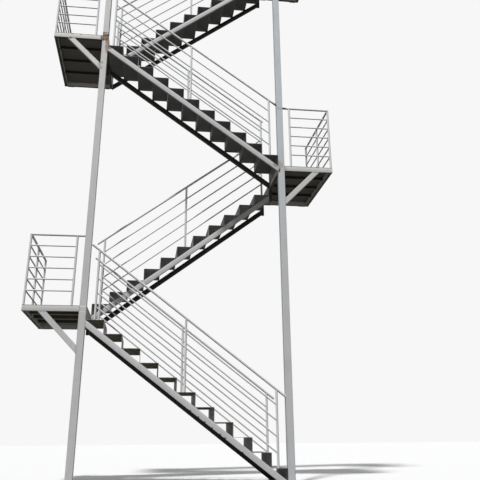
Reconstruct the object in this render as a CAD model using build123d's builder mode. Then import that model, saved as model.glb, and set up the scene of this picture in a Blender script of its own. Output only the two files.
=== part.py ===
from build123d import *
import math
import os

# Fire escape stair: two columns, four landings and four straight flights, in millimetres.
# +X runs along the wall, +Y towards the wall, +Z up.
# The origin is the middle of the left column's foot, on the ground.

# Levels of the four landing floors. Landings 1 and 3 are on the left, 2 and 4 on the right.
landing_levels = (2306.0, 4582.0, 6796.0, 9130.0)
risers_per_flight = 12

# Columns: square hollow section on base plates
column_spacing = 2925.0
column_side = 100.0
column_wall = 4.0
column_corner = 8.0
column_rise_over_rail = 60.0
base_plate_side = 200.0
base_plate_thickness = 12.0
anchor_spacing = 150.0
anchor_hole = 18.0
cap_thickness = 5.0
cap_overhang = 3.0

# Plan of flights and landings
flight_width = 830.0
flight_gap = 50.0
landing_reach = 785.0
last_tread_cut = 42.0
wall_plate_thickness = 10.0

# Landing frame and floor plate
beam_depth = 80.0
beam_width = 50.0
beam_wall = 3.0
joist_side = 50.0
joist_wall = 3.0
joists = 3
deck_thickness = 5.0
deck_clearance = 1.0

# Wall plates: welded behind each landing's back beam and bolted to the wall above the floor
wall_plate_width = 120.0
wall_plate_upstand = 110.0
wall_plate_inset = 60.0
wall_bolt_hole = 18.0

# Knee braces
brace_depth = 80.0
brace_width = 50.0
brace_wall = 3.0
brace_corner = 6.0
brace_leg = 510.0

# Stringers and bent plate steps
stringer_depth = 80.0
stringer_width = 40.0
stringer_wall = 3.0
stringer_corner = 6.0
step_plate = 4.0
step_gap = 1.0
foot_plate_margin = 10.0
foot_plate_lead = 20.0

# Railings: round tube, drawn with few sides. Values in brackets are for landings or flights 1 to 4.
tube_sides = 8
bar_sides = 6
post_diameter = 34.0
rail_diameter = 34.0
bar_diameter = 22.0
landing_rail_heights = (1020.0, 1040.0, 1040.0, 1040.0)
landing_low_bar_height = 205.0
landing_bars = 5
column_post_offset = 160.0
end_post_places = (725.0, 1540.0)
flight_rail_heights = (905.0, 940.0, 905.0, 940.0)
flight_bar_spacings = (205.0, 209.0, 205.0, 209.0)
flight_bars = 4
flight_top_insets = (125.0, 125.0, 90.0, 125.0)
flight_low_inset = 130.0
rail_end_clearance = 15.0

# Sizes that follow from the ones above
column_half = column_side / 2
front_face = -column_half
back_face = front_face + 2 * flight_width + flight_gap
run = column_spacing - column_side
treads = risers_per_flight - 1
post_radius = post_diameter / 2
railing_inset = post_radius
column_x = {"left": 0.0, "right": column_spacing}
outward = {"left": -1, "right": 1}
sides = ("left", "right", "left", "right")
flights = tuple(zip((0.0,) + landing_levels[:-1], landing_levels))


def save(builder, name):
    """Label a finished sub-part and write it."""
    builder.part.label = name
    export_step(builder.part, f"parts/{name}.step")


def hollow_section(width, depth, wall, corner):
    """Rectangular tube profile with round outer corners, in the sketch that is open."""
    RectangleRounded(width, depth, corner)
    Rectangle(width - 2 * wall, depth - 2 * wall, mode=Mode.SUBTRACT)


def landing_edges(side):
    """Outer end, outer column face and inner edge of the landings on one side, along X."""
    centre = column_x[side]
    out = outward[side]
    outer_end = centre + out * (column_half + landing_reach)
    return outer_end, centre + out * column_half, centre - out * column_half


def flight_x(number, u):
    """X of a point u downhill from the upper landing's inner edge."""
    upper_side = sides[number - 1]
    inner_edge = landing_edges(upper_side)[2]
    return inner_edge - outward[upper_side] * u


def flight_lane(number):
    """Front and back faces of a flight, along Y: odd flights in front, even ones at the wall."""
    start = front_face if number % 2 else front_face + flight_width + flight_gap
    return start, start + flight_width


def riser_of(number):
    """Riser height of one flight."""
    lower, upper = flights[number - 1]
    return (upper - lower) / risers_per_flight


def going_of(number):
    """Going of one flight. The lowest flight's treads are deeper, and the column cuts its last one short."""
    return (run + last_tread_cut) / treads if number == 1 else run / treads


def seat_height(number, u):
    """Height of the stringers' top face u downhill from the upper landing."""
    riser = riser_of(number)
    upper = flights[number - 1][1]
    return upper - riser - step_plate - (u - step_gap) * riser / going_of(number)


def stringer_drop(number):
    """Depth of a stringer measured plumb."""
    slope = math.atan2(riser_of(number), going_of(number))
    return stringer_depth / math.cos(slope)


def stringer_lanes(number):
    """Middle lines of the two stringers of a flight, along Y."""
    front, back = flight_lane(number)
    return front + stringer_width / 2, back - stringer_width / 2


os.makedirs("parts", exist_ok=True)

# Columns, each from its base plate to just over the highest railing that it carries
column_tops = {
    "left": landing_levels[2] + landing_rail_heights[2] + column_rise_over_rail,
    "right": landing_levels[3] + landing_rail_heights[3] + column_rise_over_rail,
}
for side, x in column_x.items():
    with BuildPart() as column:
        with BuildSketch(Plane.XY.offset(base_plate_thickness)):
            with Locations((x, 0)):
                hollow_section(column_side, column_side, column_wall, column_corner)
        extrude(amount=column_tops[side] - base_plate_thickness)
    save(column, f"column_{side}")

    with BuildPart() as base_plate:
        with BuildSketch():
            with Locations((x, 0)):
                Rectangle(base_plate_side, base_plate_side)
                with GridLocations(anchor_spacing, anchor_spacing, 2, 2):
                    Circle(anchor_hole / 2, mode=Mode.SUBTRACT)
        extrude(amount=base_plate_thickness)
    save(base_plate, f"base_plate_{side}")

# Cap plates that close the tops of the columns
with BuildPart() as column_caps:
    for side, x in column_x.items():
        with BuildSketch(Plane.XY.offset(column_tops[side])):
            with Locations((x, 0)):
                RectangleRounded(column_side + 2 * cap_overhang, column_side + 2 * cap_overhang, column_corner)
        extrude(amount=cap_thickness)
save(column_caps, "column_caps")

# Landings: a welded frame of hollow beams, a floor plate and a knee brace in the front plane
for number, (side, level) in enumerate(zip(sides, landing_levels), start=1):
    out = outward[side]
    outer_end, column_face, inner_edge = landing_edges(side)
    beam_top = level - deck_thickness
    beam_middle = beam_top - beam_depth / 2
    back_beam_front = back_face - beam_width

    with BuildPart() as frame:
        beams_along_x = (
            (outer_end, column_face, front_face + beam_width / 2),
            (outer_end, inner_edge, back_face - beam_width / 2),
        )
        for start_x, end_x, y in beams_along_x:
            beam_plane = Plane((start_x, y, beam_middle), x_dir=(0, 1, 0), z_dir=(-out, 0, 0))
            beam_length = abs(end_x - start_x)
            with BuildSketch(beam_plane):
                Rectangle(beam_width, beam_depth)
            extrude(amount=beam_length)
            with BuildSketch(beam_plane.offset(beam_wall)):
                Rectangle(beam_width - 2 * beam_wall, beam_depth - 2 * beam_wall)
            extrude(amount=beam_length - 2 * beam_wall, mode=Mode.SUBTRACT)
        beams_along_y = (
            (outer_end - out * beam_width / 2, front_face + beam_width),
            (inner_edge + out * beam_width / 2, column_half),
        )
        for x, start_y in beams_along_y:
            with BuildSketch(Plane((x, start_y, beam_middle), x_dir=(1, 0, 0), z_dir=(0, 1, 0))):
                Rectangle(beam_width, beam_depth)
                Rectangle(beam_width - 2 * beam_wall, beam_depth - 2 * beam_wall, mode=Mode.SUBTRACT)
            extrude(amount=back_beam_front - start_y)
        joist_length = abs(outer_end - inner_edge) - 2 * beam_width
        joist_pitch = (back_face - front_face - beam_width) / (joists + 1)
        for index in range(1, joists + 1):
            joist_y = front_face + beam_width / 2 + index * joist_pitch
            joist_start = (outer_end - out * beam_width, joist_y, beam_top - joist_side / 2)
            with BuildSketch(Plane(joist_start, x_dir=(0, 1, 0), z_dir=(-out, 0, 0))):
                Rectangle(joist_side, joist_side)
                Rectangle(joist_side - 2 * joist_wall, joist_side - 2 * joist_wall, mode=Mode.SUBTRACT)
            extrude(amount=joist_length)
    save(frame, f"landing_{number}_frame")

    with BuildPart() as deck:
        with BuildSketch(Plane.XY.offset(beam_top)):
            with Locations(((outer_end + inner_edge) / 2, (front_face + back_face) / 2)):
                Rectangle(abs(outer_end - inner_edge), back_face - front_face)
            notch = column_side + 2 * deck_clearance
            with Locations((column_x[side], 0)):
                Rectangle(notch, notch, mode=Mode.SUBTRACT)
        extrude(amount=deck_thickness)
    save(deck, f"landing_{number}_floor")

    with BuildPart() as brace:
        slant = Vector(out, 0, 1).normalized()
        low_end = Vector(column_face, front_face + brace_width / 2, beam_top - beam_depth - brace_leg)
        high_end = low_end + Vector(out * brace_leg, 0, brace_leg)
        uncut_start = low_end - slant * brace_depth
        uncut_end = high_end + slant * brace_depth
        with BuildSketch(Plane(uncut_start, x_dir=(0, 1, 0), z_dir=slant)):
            hollow_section(brace_width, brace_depth, brace_wall, brace_corner)
        extrude(amount=(uncut_end - uncut_start).length)
        split(bisect_by=Plane((column_face, 0, 0), z_dir=(out, 0, 0)), keep=Keep.TOP)
        split(bisect_by=Plane.XY.offset(beam_top - beam_depth), keep=Keep.BOTTOM)
    save(brace, f"landing_{number}_brace")

# Plates that bolt the landings' back beams to the wall
with BuildPart() as wall_plates:
    for side, level in zip(sides, landing_levels):
        outer_end, column_face, inner_edge = landing_edges(side)
        plate_reach = wall_plate_inset + wall_plate_width / 2
        plate_xs = (
            outer_end - outward[side] * plate_reach,
            inner_edge + outward[side] * plate_reach,
        )
        plate_height = beam_depth + deck_thickness + wall_plate_upstand
        for x in plate_xs:
            with BuildSketch(Plane((x, back_face, level), x_dir=(-1, 0, 0), z_dir=(0, 1, 0))):
                with Locations((0, wall_plate_upstand - plate_height / 2)):
                    Rectangle(wall_plate_width, plate_height)
                with Locations((0, wall_plate_upstand / 2)):
                    Circle(wall_bolt_hole / 2, mode=Mode.SUBTRACT)
            extrude(amount=wall_plate_thickness)
save(wall_plates, "wall_plates")

# Flights: two hollow stringers with bent plate steps standing on them
for number, (lower, upper) in enumerate(flights, start=1):
    riser = riser_of(number)
    going = going_of(number)
    front, back = flight_lane(number)
    downhill = -outward[sides[number - 1]]
    top_x = flight_x(number, 0)
    slope = math.atan2(riser, going)
    drop = stringer_drop(number)
    fall = Vector(downhill * math.cos(slope), 0, -math.sin(slope))
    ground_seat = Plane.XY.offset(base_plate_thickness)

    with BuildPart() as stringers:
        for y in stringer_lanes(number):
            top_end = Vector(top_x, y, seat_height(number, 0) - drop / 2)
            with BuildSketch(Plane(top_end - fall * stringer_depth, x_dir=(0, 1, 0), z_dir=fall)):
                hollow_section(stringer_width, stringer_depth, stringer_wall, stringer_corner)
            extrude(amount=run / math.cos(slope) + 2 * stringer_depth)
        split(bisect_by=Plane((top_x, 0, 0), z_dir=(downhill, 0, 0)), keep=Keep.TOP)
        split(bisect_by=Plane((top_x + downhill * run, 0, 0), z_dir=(downhill, 0, 0)), keep=Keep.BOTTOM)
        if lower == 0:
            split(bisect_by=ground_seat, keep=Keep.TOP)
    save(stringers, f"flight_{number}_stringers")

    with BuildPart() as steps:
        side_view = Plane((top_x, front, 0), x_dir=(downhill, 0, 0), z_dir=(0, -downhill, 0))
        width = flight_width if downhill < 0 else -flight_width
        with BuildSketch(side_view):
            with BuildLine():
                Polyline(
                    (0, upper),
                    (step_plate, upper),
                    (step_plate, seat_height(number, step_plate)),
                    (0, seat_height(number, 0)),
                    close=True,
                )
            make_face()
        extrude(amount=width)
        for index in range(1, risers_per_flight):
            tread_start = (index - 1) * going + step_gap + (step_plate if index == 1 else 0)
            nose = min(index * going, run)
            top = upper - index * riser
            with BuildSketch(side_view):
                with BuildLine():
                    Polyline(
                        (tread_start, top),
                        (nose, top),
                        (nose, seat_height(number, nose)),
                        (nose - step_plate, seat_height(number, nose - step_plate)),
                        (nose - step_plate, top - step_plate),
                        (tread_start, top - step_plate),
                        close=True,
                    )
                make_face()
            extrude(amount=width)
        if lower == 0:
            split(bisect_by=ground_seat, keep=Keep.TOP)
    save(steps, f"flight_{number}_steps")

# Short hangers under the landings that carry the stringer ends with no column beside them
with BuildPart() as hangers:
    for number, (lower, upper) in enumerate(flights, start=1):
        out = outward[sides[number - 1]]
        hanger_top = upper - deck_thickness - beam_depth
        hanger_bottom = seat_height(number, 0) - stringer_drop(number)
        hanger_x = flight_x(number, 0) + out * beam_width / 2
        lanes = stringer_lanes(number)
        for y in lanes if number % 2 == 0 else lanes[1:]:
            with BuildSketch(Plane.XY.offset(hanger_bottom)):
                with Locations((hanger_x, y)):
                    Rectangle(beam_width, stringer_width)
                    Rectangle(beam_width - 2 * beam_wall, stringer_width - 2 * beam_wall, mode=Mode.SUBTRACT)
            extrude(amount=hanger_top - hanger_bottom)
save(hangers, "stringer_hangers")

# Foot plates under the lowest flight's stringers; the front one stops at the column's base plate
with BuildPart() as foot_plates:
    toe_x = flight_x(1, run)
    seat_to_plate = seat_height(1, run) - stringer_drop(1) - base_plate_thickness
    heel_x = toe_x + seat_to_plate * going_of(1) / riser_of(1) - foot_plate_lead
    plate_ends = (column_spacing - base_plate_side / 2, toe_x)
    for y, end_x in zip(stringer_lanes(1), plate_ends):
        with BuildSketch():
            with Locations(((heel_x + end_x) / 2, y)):
                Rectangle(end_x - heel_x, stringer_width + 2 * foot_plate_margin)
        extrude(amount=base_plate_thickness)
save(foot_plates, "stringer_foot_plates")


def railing(name, posts, rails, trims=()):
    """One railing panel: posts and rails as straight tubes, welded where they meet."""
    with BuildPart() as panel:
        for start, end, diameter in posts + rails:
            direction = Vector(*end) - Vector(*start)
            flat_side = (1, 0, 0) if direction.X == 0 else (0, 1, 0)
            sides_drawn = bar_sides if diameter == bar_diameter else tube_sides
            with BuildSketch(Plane(start, x_dir=flat_side, z_dir=direction)):
                RegularPolygon(diameter / 2, sides_drawn, major_radius=False, rotation=180 / sides_drawn)
            extrude(amount=direction.length)
        for plane, side_kept in trims:
            split(bisect_by=plane, keep=side_kept)
    save(panel, name)


# Flight railings: the front flights have one on each side, the wall flights one on the open side
for number, (lower, upper) in enumerate(flights, start=1):
    riser = riser_of(number)
    going = going_of(number)
    fall_rate = (upper - lower - riser) / run
    rail_height = flight_rail_heights[number - 1]
    first_u = flight_top_insets[number - 1]
    last_u = run - flight_low_inset
    front, back = flight_lane(number)
    downhill = -outward[sides[number - 1]]
    top_x = flight_x(number, 0)
    lanes = {"front": front + railing_inset}
    if number % 2:
        lanes["inner"] = back - railing_inset
    for lane, y in lanes.items():
        posts = []
        for u in (first_u, (first_u + last_u) / 2, last_u):
            tread = upper - math.ceil(u / going) * riser
            rail_z = upper - u * fall_rate + rail_height
            x = flight_x(number, u)
            posts.append(((x, y, tread), (x, y, rail_z), post_diameter))
        rails = [(
            (top_x, y, upper + rail_height),
            (top_x + downhill * run, y, lower + riser + rail_height),
            rail_diameter,
        )]
        for index in range(1, flight_bars + 1):
            height = upper + rail_height - index * flight_bar_spacings[number - 1]
            rails.append((
                (flight_x(number, first_u), y, height - first_u * fall_rate),
                (flight_x(number, last_u), y, height - last_u * fall_rate),
                bar_diameter,
            ))
        meets_column = number % 2 and lane == "front"
        low_end = run if meets_column else run - rail_end_clearance
        trims = (
            (Plane((flight_x(number, rail_end_clearance), 0, 0), z_dir=(downhill, 0, 0)), Keep.TOP),
            (Plane((flight_x(number, low_end), 0, 0), z_dir=(downhill, 0, 0)), Keep.BOTTOM),
        )
        railing(f"flight_{number}_{lane}_railing", posts, rails, trims)


def bar_heights(rail_height):
    """Heights of a landing railing's bars over the floor, evenly spaced under the rail."""
    spacing = (rail_height - landing_low_bar_height) / landing_bars
    return [rail_height - index * spacing for index in range(1, landing_bars + 1)]


# Landing railings: one along the front, one across the outer end towards the wall
for number, (side, level) in enumerate(zip(sides, landing_levels), start=1):
    out = outward[side]
    outer_end, column_face, inner_edge = landing_edges(side)
    rail_z = level + landing_rail_heights[number - 1]
    heights = [level + height for height in bar_heights(landing_rail_heights[number - 1])]
    y = front_face + railing_inset
    corner_x = outer_end - out * railing_inset
    near_x = column_x[side] + out * column_post_offset
    posts = [((x, y, level), (x, y, rail_z), post_diameter) for x in (corner_x, near_x)]
    rails = [((corner_x, y, rail_z), (column_face, y, rail_z), rail_diameter)]
    rails += [((corner_x, y, z), (near_x, y, z), bar_diameter) for z in heights]
    railing(f"landing_{number}_front_railing", posts, rails)

    end_start = y + post_radius
    end_stop = end_post_places[-1]
    posts = [((corner_x, place, level), (corner_x, place, rail_z), post_diameter) for place in end_post_places]
    rails = [((corner_x, end_start, rail_z), (corner_x, end_stop, rail_z), rail_diameter)]
    rails += [((corner_x, end_start, z), (corner_x, end_stop, z), bar_diameter) for z in heights]
    railing(f"landing_{number}_end_railing", posts, rails)

# Guard that closes the front lane of the top landing, where no further flight starts
guard_level = landing_levels[-1]
guard_z = guard_level + landing_rail_heights[-1]
guard_x = landing_edges(sides[-1])[2] + outward[sides[-1]] * railing_inset
guard_ys = (column_half + column_post_offset / 2, front_face + flight_width - railing_inset)
posts = [((guard_x, y, guard_level), (guard_x, y, guard_z), post_diameter) for y in guard_ys]
rails = [((guard_x, column_half, guard_z), (guard_x, guard_ys[1], guard_z), rail_diameter)]
for height in bar_heights(landing_rail_heights[-1]):
    z = guard_level + height
    rails.append(((guard_x, guard_ys[0], z), (guard_x, guard_ys[1], z), bar_diameter))
railing("top_landing_guard", posts, rails)
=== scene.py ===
import math
from collections import namedtuple

import bpy
import bmesh
from mathutils import Matrix, Vector


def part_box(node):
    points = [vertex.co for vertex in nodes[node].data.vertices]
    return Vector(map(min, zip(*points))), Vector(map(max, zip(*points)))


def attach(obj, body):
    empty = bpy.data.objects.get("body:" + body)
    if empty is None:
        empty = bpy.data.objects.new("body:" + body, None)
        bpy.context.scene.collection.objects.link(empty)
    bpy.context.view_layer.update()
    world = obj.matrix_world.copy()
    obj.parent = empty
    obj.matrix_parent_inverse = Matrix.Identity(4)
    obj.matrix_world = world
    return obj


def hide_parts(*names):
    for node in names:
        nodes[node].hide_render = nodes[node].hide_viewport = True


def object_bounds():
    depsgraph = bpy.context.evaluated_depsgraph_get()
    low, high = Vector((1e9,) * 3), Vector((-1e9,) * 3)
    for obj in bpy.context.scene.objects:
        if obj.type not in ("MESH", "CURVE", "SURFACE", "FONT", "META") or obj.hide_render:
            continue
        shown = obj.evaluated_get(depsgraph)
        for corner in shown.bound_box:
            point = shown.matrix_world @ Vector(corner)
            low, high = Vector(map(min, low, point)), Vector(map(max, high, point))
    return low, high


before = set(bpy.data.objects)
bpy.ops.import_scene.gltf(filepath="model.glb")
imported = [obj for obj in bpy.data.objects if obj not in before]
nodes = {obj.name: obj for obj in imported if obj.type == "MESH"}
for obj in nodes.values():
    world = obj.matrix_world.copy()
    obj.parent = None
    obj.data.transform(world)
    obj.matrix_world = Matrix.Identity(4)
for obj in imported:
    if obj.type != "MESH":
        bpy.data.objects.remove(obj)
cad_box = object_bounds()

# Camera.
# Stands on the ground some ten metres in front of the stair, turned a little to the right and
# tilted up, with its picture cut low as in the photograph.
yaw, pitch, roll = (math.radians(angle) for angle in (8.078, 22.833, -0.454))
camera_place = (0.893, -9.640, 0.576)
picture_pixels, focal_pixels, shift_pixels = 480, 659.65, -80.4
ahead = Vector((math.sin(yaw) * math.cos(pitch), math.cos(yaw) * math.cos(pitch), math.sin(pitch)))
level_right = Vector((math.cos(yaw), -math.sin(yaw), 0))
level_up = level_right.cross(ahead)
right = math.cos(roll) * level_right + math.sin(roll) * level_up
up = -math.sin(roll) * level_right + math.cos(roll) * level_up


def new_object(name, data):
    """Object of some data, in the scene."""
    made = bpy.data.objects.new(name, data)
    bpy.context.scene.collection.objects.link(made)
    return made


camera = new_object("camera", bpy.data.cameras.new("camera"))
camera.data.sensor_width = 36
camera.data.lens = camera.data.sensor_width * focal_pixels / picture_pixels
camera.data.shift_y = shift_pixels / picture_pixels
camera.data.clip_end = 200
camera.matrix_world = Matrix.Translation(camera_place) @ Matrix((right, up, -ahead)).transposed().to_4x4()
bpy.context.scene.camera = camera

# Floor and light.
# A plain pale floor, a soft high lamp from the front left, and weaker ones from behind and in front.
# The background shows white to the camera only, so it adds nothing to the light on the steel.
bpy.context.scene.view_settings.view_transform = "Standard"


def add_node(tree, kind, given=(), **settings):
    """Add a node to a tree: settings are its own values, given its inputs, by value or by link."""
    made = tree.nodes.new(kind)
    for key, value in settings.items():
        setattr(made, key, value)
    for key, value in dict(given).items():
        if isinstance(value, bpy.types.NodeSocket):
            tree.links.new(value, made.inputs[key])
        else:
            made.inputs[key].default_value = value
    return made


def maths(tree, operation, *values, **settings):
    """Result of a sum on values or links."""
    given = dict(enumerate(values))
    return add_node(tree, "ShaderNodeMath", given, operation=operation, **settings).outputs[0]


def mixed(tree, factor, first, second):
    """Colour between two others."""
    given = {"Factor": factor, "A": first, "B": second}
    return add_node(tree, "ShaderNodeMix", given, data_type="RGBA").outputs["Result"]


def new_look(name):
    """New material, its node tree and its shader."""
    look = bpy.data.materials.new(name)
    look.use_nodes = True
    return look, look.node_tree, look.node_tree.nodes["Principled BSDF"]


def is_seen_directly(tree):
    """Value that is 1 for rays that should meet the white background."""
    path = add_node(tree, "ShaderNodeLightPath").outputs
    seen = maths(tree, "MAXIMUM", path["Is Camera Ray"], path["Is Glossy Ray"])
    return maths(tree, "MAXIMUM", seen, path["Is Transmission Ray"])


world = bpy.data.worlds.new("studio")
world.use_nodes = True
bpy.context.scene.world = world
sky = world.node_tree
sky.nodes.clear()
ambient = add_node(sky, "ShaderNodeBackground", {"Color": (0.86, 0.91, 1.0, 1), "Strength": 0.11}).outputs[0]
backdrop = add_node(sky, "ShaderNodeBackground", {"Color": (0.93, 0.93, 0.93, 1), "Strength": 1.0}).outputs[0]
either = add_node(sky, "ShaderNodeMixShader", {0: is_seen_directly(sky), 1: ambient, 2: backdrop})
add_node(sky, "ShaderNodeOutputWorld", {"Surface": either.outputs[0]})

for lamp_name, strength, softness, travel in (
    ("key lamp", 4.3, 5, (0.237, 0.448, -0.862)),
    ("back lamp", 1.1, 20, (-0.20, -0.72, -0.66)),
    ("front lamp", 0.22, 40, (0.15, 0.98, -0.10)),
):
    lamp = bpy.data.lights.new(lamp_name, "SUN")
    lamp.energy = strength
    lamp.angle = math.radians(softness)
    new_object(lamp_name, lamp).rotation_euler = Vector(travel).to_track_quat("-Z", "Y").to_euler()

reach = 60
ground_mesh = bpy.data.meshes.new("floor")
corners = [(x * reach, y * reach, 0) for x, y in ((-1, -1), (1, -1), (1, 1), (-1, 1))]
ground_mesh.from_pydata(corners, [], [(0, 1, 2, 3)])
ground_look, shown, ground_shader = new_look("pale floor")
ground_shader.inputs["Roughness"].default_value = 0.9
pale = mixed(shown, is_seen_directly(shown), (0.095, 0.092, 0.082, 1), (0.60, 0.60, 0.60, 1))
shown.links.new(pale, ground_shader.inputs["Base Color"])
ground_mesh.materials.append(ground_look)
floor = new_object("floor", ground_mesh)

# Columns.
# Square hollow steel sections with rounded corners, painted grey on site. Each stands on a plate
# and is closed with a cap, both welded on. The left one is spliced over the third landing.


def new_group(name, inputs, outputs, kind="ShaderNodeTree"):
    """Empty node group, with its named inputs and outputs and what each carries."""
    group = bpy.data.node_groups.new(name, kind)
    for way, sockets in (("INPUT", inputs), ("OUTPUT", outputs)):
        for label, carried in sockets.items():
            group.interface.new_socket(name=label, in_out=way, socket_type="NodeSocket" + carried)
    return group, group.nodes.new("NodeGroupInput").outputs, group.nodes.new("NodeGroupOutput").inputs


def connect(tree, sockets, links):
    """Link outputs to named input sockets."""
    for label, output in links.items():
        tree.links.new(output, sockets[label])


def ranged(tree, value, low, high, to_low=0, to_high=1, **settings):
    """Value carried from one range to another and held at its ends."""
    given = {"Value": value, "From Min": low, "From Max": high, "To Min": to_low, "To Max": to_high}
    return add_node(tree, "ShaderNodeMapRange", given, **settings).outputs[0]


def noise(tree, scale, detail, place=None):
    """Noise over a place, or over the position where none is given."""
    given = {"Scale": scale, "Detail": detail}
    if place is not None:
        given["Vector"] = place
    return add_node(tree, "ShaderNodeTexNoise", given).outputs["Fac"]


def object_place(tree):
    """Place on the stair, in metres."""
    return add_node(tree, "ShaderNodeTexCoord").outputs["Object"]


def vector_maths(tree, operation, given):
    """Outputs of a sum on vectors."""
    return add_node(tree, "ShaderNodeVectorMath", given, operation=operation).outputs


def site_paint_group():
    """Brushed grey paint: mottled, grime streaks, rust freckles, thin coat and painted shade below."""
    group, given, result = new_group("site paint", {
        "Paint": "Color", "Grime": "Color", "Grime amount": "Float", "Mottling": "Float", "Streaks": "Float",
        "Freckles": "Float", "Coat and shade below": "Float", "Below": "Color",
        "Paint above": "Color", "Above from": "Float", "Above to": "Float",
    }, {"Color": "Color", "Roughness": "Float", "Height": "Float"})
    place = object_place(group)
    storey = add_node(group, "ShaderNodeSeparateXYZ", {0: place}).outputs["Z"]
    # Over the given heights the paint turns to the Paint above colour.
    upper_share = ranged(group, storey, given["Above from"], given["Above to"])
    height_toned = mixed(group, upper_share, given["Paint"], given["Paint above"])
    cloudy = noise(group, 2.3, 5, place)
    brushed = noise(group, 28, 4, place)
    stretched = add_node(group, "ShaderNodeMapping", {"Vector": place, "Scale": (38, 38, 1.6)}).outputs[0]
    runs = noise(group, 1, 3, stretched)
    fine = noise(group, 160, 3, place)
    dots = noise(group, 70, 2, place)

    both = maths(group, "MULTIPLY_ADD", brushed, 0.45, cloudy)
    tone = ranged(group, both, 0.48, 0.97, -1, 1)
    shift = maths(group, "MULTIPLY_ADD", tone, given["Mottling"], 1.0)
    toned = vector_maths(group, "SCALE", {0: height_toned, "Scale": shift})[0]

    streaked = maths(group, "MULTIPLY", ranged(group, runs, 0.52, 0.80), given["Streaks"])
    dirt = maths(group, "ADD", streaked, ranged(group, cloudy, 0.5, 0.9))
    dirty = maths(group, "MULTIPLY", dirt, given["Grime amount"], use_clamp=True)
    grimy = mixed(group, dirty, toned, given["Grime"])
    specks = ranged(group, dots, 0.70, 0.76)
    speckled = maths(group, "MULTIPLY", specks, given["Freckles"], use_clamp=True)
    rusty = mixed(group, speckled, grimy, (0.16, 0.07, 0.035, 1))

    # Faces that look down turn to the Below colour: a thin coat and painted shade.
    facing = add_node(group, "ShaderNodeNewGeometry").outputs["Normal"]
    upward = add_node(group, "ShaderNodeSeparateXYZ", {0: facing}).outputs["Z"]
    thin = maths(group, "MULTIPLY", ranged(group, upward, -0.5, -0.95), given["Coat and shade below"])
    rough = maths(group, "MULTIPLY_ADD", dirty, 0.3, ranged(group, both, 0, 1, 0.40, 0.62))
    duller = maths(group, "MULTIPLY_ADD", thin, 0.3, rough)
    raised = maths(group, "MULTIPLY_ADD", brushed, 1.5, fine)
    connect(group, result, {
        "Color": mixed(group, thin, rusty, given["Below"]),
        "Roughness": maths(group, "MULTIPLY_ADD", speckled, 0.4, duller, use_clamp=True),
        "Height": maths(group, "MULTIPLY_ADD", speckled, 0.8, raised),
    })
    return group


def rust_and_highlight_group():
    """Rust, stains and painted highlights: a mark inside a soft ellipsoid round a place, its mask and mottled
    colour.
    """
    group, given, result = new_group("rust and highlight patch", {
        "Place": "Vector", "Reach": "Vector", "Amount": "Float",
        "Under": "Color", "Dark": "Color", "Light": "Color",
    }, {"Color": "Color", "Mask": "Float"})
    place = object_place(group)
    offset = vector_maths(group, "SUBTRACT", {0: place, 1: given["Place"]})[0]
    scaled = vector_maths(group, "DIVIDE", {0: offset, 1: given["Reach"]})[0]
    far = vector_maths(group, "LENGTH", {0: scaled})["Value"]
    speckle = noise(group, 45, 6, place)
    ragged = maths(group, "MULTIPLY_ADD", speckle, 1.1, far)
    mask = ranged(group, ragged, 1.60, 1.25, interpolation_type="SMOOTHSTEP")
    amount = maths(group, "MULTIPLY", mask, given["Amount"])
    mark_tone = mixed(group, ranged(group, speckle, 0.35, 0.65), given["Dark"], given["Light"])
    connect(group, result, {"Color": mixed(group, amount, given["Under"], mark_tone), "Mask": amount})
    return group


def worn_and_lit_face_group():
    """Lighter colour on the faces that look one way: scuffs and dust, and painted light."""
    group, given, result = new_group("worn_and_lit faces", {
        "Looking": "Vector", "Amount": "Float", "Under": "Color", "Worn and lit": "Color",
    }, {"Color": "Color"})
    facing = add_node(group, "ShaderNodeNewGeometry").outputs["Normal"]
    along = vector_maths(group, "DOT_PRODUCT", {0: facing, 1: given["Looking"]})["Value"]
    most = maths(group, "MULTIPLY", ranged(group, along, 0.7, 0.95), given["Amount"])
    scuffs = noise(group, 14, 5, object_place(group))
    worn_and_lit = maths(group, "MULTIPLY", most, ranged(group, scuffs, 0.3, 0.6, 0.6))
    connect(group, result, {"Color": mixed(group, worn_and_lit, given["Under"], given["Worn and lit"])})
    return group


site_paint = site_paint_group()
rust_and_highlight_patch = rust_and_highlight_group()
worn_and_lit_faces = worn_and_lit_face_group()
rust_tones = ((0.075, 0.038, 0.022), (0.27, 0.155, 0.095))
stain_tones = ((0.13, 0.085, 0.055), (0.36, 0.27, 0.20))
primer_tones = ((0.30, 0.25, 0.19), (0.46, 0.42, 0.35))
scorch_tones = ((0.03, 0.024, 0.02), (0.13, 0.115, 0.10))
seam_highlight_tones = ((0.74, 0.74, 0.72), (0.68, 0.68, 0.66))
pale_seam_highlight_tones = ((0.66, 0.66, 0.65), (0.60, 0.60, 0.59))
grime_tone = (0.10, 0.09, 0.08)
paint_depth = 0.0008


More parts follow.
